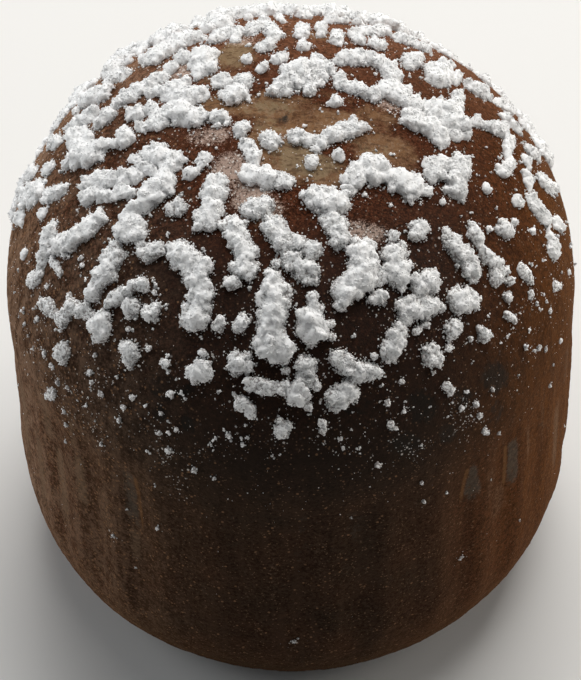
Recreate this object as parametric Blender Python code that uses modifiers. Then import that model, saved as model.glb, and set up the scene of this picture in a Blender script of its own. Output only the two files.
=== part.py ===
"""A chocolate truffle: one solid piece with an upright wall, a full domed top and a rounded foot.

The wall carries the shallow upright dents that a pleated paper case presses into soft chocolate,
and the crown has a small dimple. Metres, +Z up, origin at the middle of the flat foot, front at -Y.
"""

import math
import random

import bmesh
import bpy
from mathutils import Vector

# Driving dimensions, in metres
SHOULDER_RADIUS = 0.0140  # where the wall meets the dome
WALL_RADIUS = 0.0142  # widest part of the wall, just above the foot's round edge
WALL_HEIGHT = 0.0166  # from the foot to the shoulder
DOME_HEIGHT = 0.0119  # from the shoulder to the crown
DOME_FULLNESS = 2.36  # exponent of the dome's outline: 2 is an ellipse, more is squarer
FOOT_EDGE_WIDTH = 0.0042  # how far the round lower edge reaches in
FOOT_EDGE_HEIGHT = 0.0070  # how far the round lower edge reaches up

# The crown's dimple, a little behind the middle
DIMPLE_CENTRE = Vector((-0.0003, 0.0003, 0.0))
DIMPLE_RADIUS = 0.0014
DIMPLE_DEPTH = 0.00025

# Dents of the paper case's pleats, numbered from the front towards +X
PLEAT_COUNT = 32
FIRST_PLEAT = math.radians(1.5)  # how far number 0 stands from the front, towards +X
PLEAT_DEPTH = 0.00026  # of the deepest dent
PLEAT_FOOT = 0.0028  # height where the dents begin
PLEAT_FOOT_FADE = 0.0040
PLEAT_TOP = 0.0185  # height where they have died away, a little way up the dome
PLEAT_TOP_FADE = 0.0032
DEEP_PLEATS = (-12, -9, -5, -4, -3, 0, 1, 3, 4, 7, 10, 14)
DEEP_SHARE = (0.75, 1.0)  # how deep those pressed in, as a share of the deepest
FAINT_SHARE = (0.1, 0.45)  # and the others
PLEAT_SEED = 11

# The maker's hand: halfway up, the wall stands a little to the +X side of the dome
LEAN = 0.0002

# How finely the outline is turned
STEPS_PER_PLEAT = 4
DIMPLE_POINTS = 3
DOME_POINTS = 12
WALL_POINTS = 7
EDGE_POINTS = 6
MERGE_DISTANCE = 0.000005

CHOCOLATE_COLOUR = (0.055, 0.025, 0.013, 1.0)
CHOCOLATE_ROUGHNESS = 0.75
SHARP_ANGLE = math.radians(50)


def remove_everything():
    """Empties the scene without closing the file that this script runs from."""
    for thing in list(bpy.data.objects):
        bpy.data.objects.remove(thing, do_unlink=True)


def chocolate_material():
    """Dark chocolate under a dusting of cocoa."""
    material = bpy.data.materials.new("dusted_chocolate")
    material.use_nodes = True
    shader = material.node_tree.nodes["Principled BSDF"]
    shader.inputs["Base Color"].default_value = CHOCOLATE_COLOUR
    shader.inputs["Roughness"].default_value = CHOCOLATE_ROUGHNESS
    shader.inputs["Metallic"].default_value = 0.0
    return material


def dome_height_at(radius):
    """Height of the dome's surface at this distance from the axis."""
    share = (radius / SHOULDER_RADIUS) ** DOME_FULLNESS
    return WALL_HEIGHT + DOME_HEIGHT * (1 - share) ** (1 / DOME_FULLNESS)


def outline():
    """Radius and height along the turned outline, from the crown down to the middle of the foot."""
    crown_radius = DIMPLE_RADIUS + DIMPLE_CENTRE.length
    radii = [crown_radius * i / DIMPLE_POINTS for i in range(DIMPLE_POINTS)]
    first_angle = math.acos((crown_radius / SHOULDER_RADIUS) ** (DOME_FULLNESS / 2))
    for i in range(DOME_POINTS):
        angle = first_angle * (1 - i / DOME_POINTS)
        radii.append(SHOULDER_RADIUS * math.cos(angle) ** (2 / DOME_FULLNESS))
    points = [(radius, dome_height_at(radius)) for radius in radii]
    for i in range(WALL_POINTS):
        share = i / WALL_POINTS
        radius = SHOULDER_RADIUS + (WALL_RADIUS - SHOULDER_RADIUS) * share
        points.append((radius, WALL_HEIGHT + (FOOT_EDGE_HEIGHT - WALL_HEIGHT) * share))
    for i in range(EDGE_POINTS + 1):
        angle = math.pi / 2 * i / EDGE_POINTS
        radius = WALL_RADIUS - FOOT_EDGE_WIDTH * (1 - math.cos(angle))
        points.append((radius, FOOT_EDGE_HEIGHT * (1 - math.sin(angle))))
    points.append((0.0, 0.0))
    return points


def turned(name, points, steps):
    """An object whose mesh is the outline, turned once round the upright axis by a Screw modifier."""
    mesh = bpy.data.meshes.new(name)
    edges = [(i, i + 1) for i in range(len(points) - 1)]
    mesh.from_pydata([(radius, 0.0, height) for radius, height in points], edges, [])
    turned_object = bpy.data.objects.new(name, mesh)
    screw = turned_object.modifiers.new("turn", "SCREW")
    screw.axis = "Z"
    screw.angle = math.tau
    screw.steps = steps
    screw.render_steps = steps
    screw.use_merge_vertices = True
    screw.merge_threshold = MERGE_DISTANCE
    return turned_object


def apply_modifiers(shape):
    """Gives the object its evaluated mesh, with coincident points merged and faces pointing out."""
    graph = bpy.context.evaluated_depsgraph_get()
    mesh = bpy.data.meshes.new_from_object(shape.evaluated_get(graph))
    work = bmesh.new()
    work.from_mesh(mesh)
    bmesh.ops.remove_doubles(work, verts=work.verts, dist=MERGE_DISTANCE)
    bmesh.ops.recalc_face_normals(work, faces=work.faces)
    work.to_mesh(mesh)
    work.free()
    shape.modifiers.clear()
    shape.data = mesh


def smooth_step(share):
    """0 to 1 with no corner at either end."""
    share = min(1.0, max(0.0, share))
    return share * share * (3 - 2 * share)


def pleat_shares():
    """How deep each pleat pressed in: a paper case never touches evenly all round."""
    chooser = random.Random(PLEAT_SEED)
    shares = []
    for pleat in range(PLEAT_COUNT):
        deep = pleat in DEEP_PLEATS or pleat - PLEAT_COUNT in DEEP_PLEATS
        shares.append(chooser.uniform(*(DEEP_SHARE if deep else FAINT_SHARE)))
    return shares


def pleat_dent(turn, height, shares):
    """How far the wall is pushed in at this height, where turn counts pleats from number 0."""
    pleat = round(turn)
    across = math.cos(math.pi * (turn - pleat)) ** 2
    from_foot = smooth_step((height - PLEAT_FOOT) / PLEAT_FOOT_FADE)
    from_top = smooth_step((PLEAT_TOP - height) / PLEAT_TOP_FADE)
    return PLEAT_DEPTH * shares[pleat % PLEAT_COUNT] * across * from_foot * from_top


def shape_by_hand(shape):
    """Presses the dimple and the pleats into the turned solid, and leans its wall to one side."""
    shares = pleat_shares()
    flat_foot_radius = WALL_RADIUS - FOOT_EDGE_WIDTH
    for vertex in shape.data.vertices:
        outward = Vector((vertex.co.x, vertex.co.y, 0.0))
        height = vertex.co.z
        if height > WALL_HEIGHT:
            from_dimple = (outward - DIMPLE_CENTRE).length
            vertex.co.z -= DIMPLE_DEPTH * smooth_step(1 - from_dimple / DIMPLE_RADIUS)
        if outward.length > flat_foot_radius:
            from_front = math.atan2(outward.y, outward.x) + math.pi / 2
            turn = (from_front - FIRST_PLEAT) / math.tau * PLEAT_COUNT
            vertex.co -= outward.normalized() * pleat_dent(turn, height, shares)
            vertex.co.x += LEAN * math.sin(math.pi * min(1.0, height / WALL_HEIGHT))


def main():
    remove_everything()
    collection = bpy.data.collections.new("chocolate_truffle")
    bpy.context.scene.collection.children.link(collection)
    truffle = turned("truffle", outline(), PLEAT_COUNT * STEPS_PER_PLEAT)
    collection.objects.link(truffle)
    apply_modifiers(truffle)
    shape_by_hand(truffle)
    truffle.data.materials.append(chocolate_material())
    truffle.data.shade_smooth()
    truffle.data.set_sharp_from_angle(angle=SHARP_ANGLE)


main()
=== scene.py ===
import math
import random
import time

import bpy
import numpy as np
from mathutils import Matrix, Vector, noise
from mathutils.bvhtree import BVHTree
from mathutils.kdtree import KDTree


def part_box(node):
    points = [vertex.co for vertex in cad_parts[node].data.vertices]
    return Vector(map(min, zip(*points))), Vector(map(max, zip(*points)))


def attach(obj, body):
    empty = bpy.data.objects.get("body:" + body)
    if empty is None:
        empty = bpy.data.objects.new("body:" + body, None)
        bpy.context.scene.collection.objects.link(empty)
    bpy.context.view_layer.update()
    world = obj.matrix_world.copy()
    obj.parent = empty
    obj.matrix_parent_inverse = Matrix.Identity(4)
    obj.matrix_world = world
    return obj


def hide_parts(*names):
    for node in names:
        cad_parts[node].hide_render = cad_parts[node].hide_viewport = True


startTime = time.time()
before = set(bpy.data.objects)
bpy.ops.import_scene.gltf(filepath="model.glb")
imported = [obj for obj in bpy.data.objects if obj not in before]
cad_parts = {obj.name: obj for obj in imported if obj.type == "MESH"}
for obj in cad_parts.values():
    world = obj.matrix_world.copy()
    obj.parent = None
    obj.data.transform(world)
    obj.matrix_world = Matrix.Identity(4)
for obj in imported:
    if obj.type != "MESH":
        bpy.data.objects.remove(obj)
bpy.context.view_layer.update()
low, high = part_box("truffle")
mm = 0.001  # everything is modelled in millimetres and brought down to metres at the end
front = -math.pi / 2  # the way the front faces, as an angle round the upright axis


def stage(text):
    print(f"[{time.time() - startTime:5.1f} s] {text}")


# the truffle's turned outline, as its solid has it, in millimetres
truffle = {
    "flatFoot": 10.4,  # how far out from its middle the foot is kept flat
    "shoulderRadius": 14.0,
    "wallRadius": 14.2,
    "wallHeight": 16.6,
    "domeHeight": 11.9,
    "domeFullness": 2.36,
    "footEdgeWidth": 4.2,
    "footEdgeHeight": 7.0,
    "lean": 0.2,  # halfway up, the wall stands this far to the right of the dome
    "dimpleAt": (-0.3, 0.3),
    "dimpleRadius": 1.4,
    "dimpleDepth": 0.25,
}


def outlineTable():
    # distance from the crown along the surface, with radius and height, down to the middle of the foot
    t = truffle
    angle = np.linspace(math.pi / 2, 0, 300)
    power = 2 / t["domeFullness"]
    radius = t["shoulderRadius"] * np.cos(angle) ** power
    radius[0] = 0
    height = t["wallHeight"] + t["domeHeight"] * np.sin(angle) ** power
    share = np.linspace(0, 1, 60)[1:]
    radius = np.append(radius, t["shoulderRadius"] + (t["wallRadius"] - t["shoulderRadius"]) * share)
    height = np.append(height, t["wallHeight"] + (t["footEdgeHeight"] - t["wallHeight"]) * share)
    angle = np.linspace(0, math.pi / 2, 80)[1:]
    radius = np.append(radius, t["wallRadius"] - t["footEdgeWidth"] * (1 - np.cos(angle)))
    height = np.append(height, t["footEdgeHeight"] * (1 - np.sin(angle)))
    radius = np.append(radius, 0)
    height = np.append(height, 0)
    along = np.append(0, np.cumsum(np.hypot(np.diff(radius), np.diff(height))))
    return along, radius, height


along, outlineRadius, outlineHeight = outlineTable()


def onOutline(down):
    return np.interp(down, along, outlineRadius), np.interp(down, along, outlineHeight)


def outlineNormal(down):
    step = 0.05
    radiusAbove, heightAbove = onOutline(np.maximum(down - step, 0))
    radiusBelow, heightBelow = onOutline(down + step)
    outward, upward = heightAbove - heightBelow, radiusBelow - radiusAbove
    length = np.hypot(outward, upward)
    return outward / length, upward / length


def smoothStep(share):
    share = np.clip(share, 0, 1)
    return share * share * (3 - 2 * share)


# dents that the pleats of a paper case pressed into the wall, counted from the front to the right
pleats = {
    "count": 32,
    "depth": 0.22,
    "foot": 2.8,
    "footFade": 4.0,
    "top": 18.5,
    "topFade": 3.2,
    "first": math.radians(1.5),  # where number 0 stands
    "deep": (-12, -9, -5, -4, -3, 0, 1, 3, 4, 7, 10, 14),
    "deepShare": (0.75, 1.0),
    "faintShare": (0.1, 0.45),
    "seed": 11,
}


def pleatShares():
    chooser = random.Random(pleats["seed"])
    shares = []
    for pleat in range(pleats["count"]):
        deep = pleat in pleats["deep"] or pleat - pleats["count"] in pleats["deep"]
        shares.append(chooser.uniform(*pleats["deepShare" if deep else "faintShare"]))
    return np.array(shares)


def pleatPress(azimuth, height):
    # 0 to 1: how hard the paper pressed here
    turn = (azimuth - front - pleats["first"]) / math.tau * pleats["count"]
    pleat = np.round(turn).astype(int)
    across = np.cos(math.pi * (turn - pleat)) ** 2
    fromFoot = smoothStep((height - pleats["foot"]) / pleats["footFade"])
    fromTop = smoothStep((pleats["top"] - height) / pleats["topFade"])
    return pleatShares()[pleat % pleats["count"]] * across * fromFoot * fromTop


def deselectAll():
    if bpy.context.object and bpy.context.object.mode != "OBJECT":
        bpy.ops.object.mode_set(mode="OBJECT")
    bpy.ops.object.select_all(action="DESELECT")


def makeActive(piece):
    deselectAll()
    piece.select_set(True)
    bpy.context.view_layer.objects.active = piece


def applyModifiers(piece):
    makeActive(piece)
    for modifier in list(piece.modifiers):
        bpy.ops.object.modifier_apply(modifier=modifier.name)


def places(piece):
    points = np.empty(len(piece.data.vertices) * 3)
    piece.data.vertices.foreach_get("co", points)
    return points.reshape(-1, 3)


def moveTo(piece, points):
    piece.data.vertices.foreach_set("co", np.asarray(points, dtype=np.float32).ravel())
    piece.data.update()


def normals(piece):
    values = np.empty(len(piece.data.vertices) * 3, dtype=np.float32)
    piece.data.vertex_normals.foreach_get("vector", values)
    return values.reshape(-1, 3).astype(float)


def setAttribute(piece, name, values):
    attribute = piece.data.attributes.new(name, "FLOAT", "POINT")
    attribute.data.foreach_set("value", np.asarray(values, dtype=np.float32))


def roughen(piece, name, kind, size, depth, middle=0.5, **settings):
    # pushes the surface in and out by a noise whose lumps are this size
    texture = bpy.data.textures.new(name, kind)
    texture.noise_scale = size
    for setting, value in settings.items():
        setattr(texture, setting, value)
    modifier = piece.modifiers.new(name, "DISPLACE")
    modifier.texture = texture
    modifier.texture_coords = "LOCAL"
    modifier.strength = depth
    modifier.mid_level = middle
    applyModifiers(piece)
    bpy.data.textures.remove(texture)


def finishPiece(piece, material, slot, *nodes):
    makeActive(piece)
    piece.data.transform(Matrix.Scale(mm, 4))
    piece.data.materials.clear()
    piece.data.materials.append(material)
    bpy.ops.object.shade_smooth()
    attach(piece, "root")
    if nodes:
        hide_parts(*nodes)
    triangles = sum(len(face.vertices) - 2 for face in piece.data.polygons)
    stage(f"{piece.name}: {triangles} triangles")


class Wire:
    # a shader socket that can stand in a sum
    def __init__(self, tree, socket):
        self.tree = tree
        self.socket = socket

    def maths(self, operation, *values):
        node = self.tree.nodes.new("ShaderNodeMath")
        node.operation = operation
        for place, value in enumerate(values):
            plug(self.tree, node.inputs[place], value)
        return Wire(self.tree, node.outputs[0])

    def __add__(self, other):
        return self.maths("ADD", self, other)

    __radd__ = __add__

    def __sub__(self, other):
        return self.maths("SUBTRACT", self, other)

    def __rsub__(self, other):
        return self.maths("SUBTRACT", other, self)

    def __mul__(self, other):
        return self.maths("MULTIPLY", self, other)

    __rmul__ = __mul__

    def limited(self):
        return self.maths("MINIMUM", self.maths("MAXIMUM", self, 0.0), 1.0)


def plug(tree, socket, value):
    if isinstance(value, Wire):
        tree.links.new(value.socket, socket)
    else:
        socket.default_value = value


class Finish:
    # a material with one Principled shader; whatever is the same all over is set on its own socket
    def __init__(self, name, constants):
        self.material = bpy.data.materials.new(name)
        self.material.use_nodes = True
        self.tree = self.material.node_tree
        self.shader = self.tree.nodes["Principled BSDF"]
        for socket, value in constants.items():
            self.shader.inputs[socket].default_value = value
        spot = self.node("ShaderNodeTexCoord", output="Object")
        self.place = self.node(
            "ShaderNodeVectorMath", {"operation": "SCALE"}, {"Vector": spot, "Scale": 1 / mm}
        )

    def node(self, kind, settings=None, sockets=None, output=0):
        node = self.tree.nodes.new(kind)
        for setting, value in (settings or {}).items():
            setattr(node, setting, value)
        for socket, value in (sockets or {}).items():
            plug(self.tree, node.inputs[socket], value)
        return Wire(self.tree, node.outputs[output])

    def noise(self, size, detail=2.0, rough=0.5, shift=0.0):
        place = self.place
        if shift:
            place = self.node(
                "ShaderNodeVectorMath", {"operation": "ADD"}, {0: place, 1: (shift, shift, shift)}
            )
        return self.node(
            "ShaderNodeTexNoise",
            sockets={"Vector": place, "Scale": 1 / size, "Detail": detail, "Roughness": rough},
        )

    def attribute(self, name):
        return self.node("ShaderNodeAttribute", {"attribute_name": name}, output="Fac")

    def step(self, value, start, end):
        return self.node(
            "ShaderNodeMapRange",
            {"interpolation_type": "SMOOTHSTEP"},
            {"Value": value, "From Min": start, "From Max": end},
        )

    def mix(self, share, first, second):
        return self.node(
            "ShaderNodeMix", {"data_type": "RGBA"}, {0: share, 6: first, 7: second}, output=2
        )

    def bump(self, height, distance, strength=1.0, normal=None):
        sockets = {"Height": height, "Distance": distance * mm, "Strength": strength}
        if normal:
            sockets["Normal"] = normal
        return self.node("ShaderNodeBump", sockets=sockets)

    def feed(self, **wires):
        for name, wire in wires.items():
            plug(self.tree, self.shader.inputs[name.replace("_", " ")], wire)
        return self.material


# the camera
view = {"elevation": 50, "away": 141.0, "lookAt": 12.64, "lens": 147.6}


def addCamera():
    data = bpy.data.cameras.new("camera")
    data.lens = view["lens"]
    data.sensor_width = 36
    data.clip_start = 0.01
    camera = bpy.data.objects.new("camera", data)
    bpy.context.scene.collection.objects.link(camera)
    elevation = math.radians(view["elevation"])
    camera.location = (
        Vector((0, -math.cos(elevation), math.sin(elevation))) * view["away"] * mm
        + Vector((0, 0, view["lookAt"] * mm))
    )
    camera.rotation_euler = (math.pi / 2 - elevation, 0, 0)
    bpy.context.scene.camera = camera


# soft lamps: place in millimetres, side length in millimetres, power in watts, colour
lamps = {
    "overhead": {"place": (40, 150, 330), "side": 260, "power": 1.22, "colour": (1.0, 0.985, 0.96)},
    "right": {"place": (300, 60, 110), "side": 200, "power": 0.37, "colour": (1.0, 0.95, 0.88)},
    "left": {"place": (-300, 80, 120), "side": 200, "power": 0.39, "colour": (0.95, 0.98, 1.0)},
}
room = {"air": (0.9, 0.95, 1.0), "airStrength": 0.085, "floorColour": (0.85, 0.84, 0.82), "floorSide": 3.0}


def addLights():
    for name, lamp in lamps.items():
        data = bpy.data.lights.new(name, "AREA")
        data.shape = "SQUARE"
        data.size = lamp["side"] * mm
        data.energy = lamp["power"]
        data.color = lamp["colour"]
        light = bpy.data.objects.new(name, data)
        light.location = Vector(lamp["place"]) * mm
        toTruffle = Vector((0, 0, high.z / 2)) - light.location
        light.rotation_euler = toTruffle.to_track_quat("-Z", "Y").to_euler()
        bpy.context.scene.collection.objects.link(light)
    world = bpy.data.worlds.new("room")
    world.use_nodes = True
    world.node_tree.nodes["Background"].inputs["Color"].default_value = (*room["air"], 1)
    world.node_tree.nodes["Background"].inputs["Strength"].default_value = room["airStrength"]
    bpy.context.scene.world = world
    bpy.context.scene.view_settings.view_transform = "Standard"


def addFloor():
    deselectAll()
    bpy.ops.mesh.primitive_plane_add(size=room["floorSide"])
    floor = bpy.context.object
    floor.name = "floor"
    paper = Finish("floorPaper", {"Roughness": 0.9})
    shade = paper.noise(40.0)
    colour = paper.mix(shade * 0.1, (*room["floorColour"], 1), (0.7, 0.7, 0.7, 1))
    floor.data.materials.append(paper.feed(Base_Color=colour))


addCamera()
addLights()
addFloor()
stage("camera, lights and floor")


# the chocolate body
body = {
    "cuts": 63,  # then every face is cut in four
    "unevenSize": 5.0,
    "unevenDepth": 0.16,
    "lumpSize": 0.9,
    "lumpDepth": 0.05,
    "grainSize": 0.34,
    "grainDepth": 0.06,
}


def pressedOutline(azimuth, down):
    # the turned outline with its dimple, pleats and lean
    radius, height = onOutline(down)
    radius = radius - pleats["depth"] * pleatPress(azimuth, height)
    x = radius * np.cos(azimuth)
    y = radius * np.sin(azimuth)
    fromDimple = np.hypot(x - truffle["dimpleAt"][0], y - truffle["dimpleAt"][1])
    dimple = truffle["dimpleDepth"] * smoothStep(1 - fromDimple / truffle["dimpleRadius"])
    leaning = truffle["lean"] * np.sin(math.pi * np.clip(height / truffle["wallHeight"], 0, 1))
    return np.stack([x + leaning, y, height - np.where(down < 5, dimple, 0)], -1)


def makeBody():
    deselectAll()
    bpy.ops.mesh.primitive_cube_add(size=2)
    piece = bpy.context.object
    piece.name = "chocolateBody"
    bpy.ops.object.mode_set(mode="EDIT")
    bpy.ops.mesh.select_all(action="SELECT")
    bpy.ops.mesh.subdivide(number_cuts=body["cuts"])
    bpy.ops.mesh.subdivide(number_cuts=1)
    bpy.ops.object.mode_set(mode="OBJECT")
    rounded = piece.modifiers.new("rounded", "CAST")
    rounded.factor = 1
    applyModifiers(piece)
    ball = places(piece)
    azimuth = np.arctan2(ball[:, 1], ball[:, 0])
    polar = np.arccos(np.clip(ball[:, 2] / np.linalg.norm(ball, axis=1), -1, 1))
    down = polar / math.pi * along[-1]
    moveTo(piece, pressedOutline(azimuth, down))
    roughen(piece, "uneven", "CLOUDS", body["unevenSize"], body["unevenDepth"], 0.7)
    roughen(piece, "lumps", "CLOUDS", body["lumpSize"], body["lumpDepth"], 0.7)
    roughen(piece, "grain", "CLOUDS", body["grainSize"], body["grainDepth"], 0.6, noise_depth=1)
    points = places(piece)
    points[:, 2] = np.where(down > along[-1] - truffle["flatFoot"], 0, np.maximum(points[:, 2], 0))
    moveTo(piece, points)
    return piece, azimuth, down


chocolateBody, bodyAzimuth, bodyDown = makeBody()
bodyTree = BVHTree.FromObject(chocolateBody, bpy.context.evaluated_depsgraph_get())
stage("body shaped")


def onBody(x, y):
    # the spot and normal on the body for a place on the dome laid flat, which is given in
    # millimetres to the right of the crown and behind it
    down = math.hypot(x, y)
    azimuth = math.atan2(y, x)
    radius, height = onOutline(down)
    outward, upward = outlineNormal(down)
    normal = Vector((outward * math.cos(azimuth), outward * math.sin(azimuth), upward))
    spot = Vector((radius * math.cos(azimuth), radius * math.sin(azimuth), height))
    hit = bodyTree.ray_cast(spot + normal * 2, -normal)[0]
    return hit if hit else spot, normal


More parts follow.
